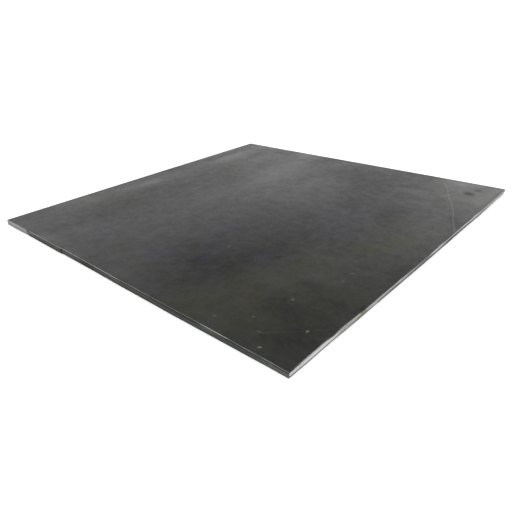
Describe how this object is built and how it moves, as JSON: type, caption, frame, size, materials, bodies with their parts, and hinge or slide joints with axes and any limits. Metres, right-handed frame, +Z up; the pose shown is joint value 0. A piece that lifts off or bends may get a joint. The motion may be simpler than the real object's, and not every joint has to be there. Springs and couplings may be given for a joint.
{
  "type": "steel plate",
  "caption": "Flat square plate of hot-rolled mild steel with a dark mill-scale skin and bright sheared edges.",
  "frame": {"origin": "middle of the underside, on the surface the plate lies on", "axes": "+Z up through the thickness; +X and +Y along the two pairs of cut edges; the slightly blunt corner is at +X +Y"},
  "size_m": [0.6, 0.6, 0.008],
  "materials": {
    "mill_scale_steel": "dark grey, semi-gloss mill scale on both skins, bare steel on the cut edges"
  },
  "bodies": {
    "root": {"steel_plate": "mill_scale_steel"}
  },
  "joints": []
}
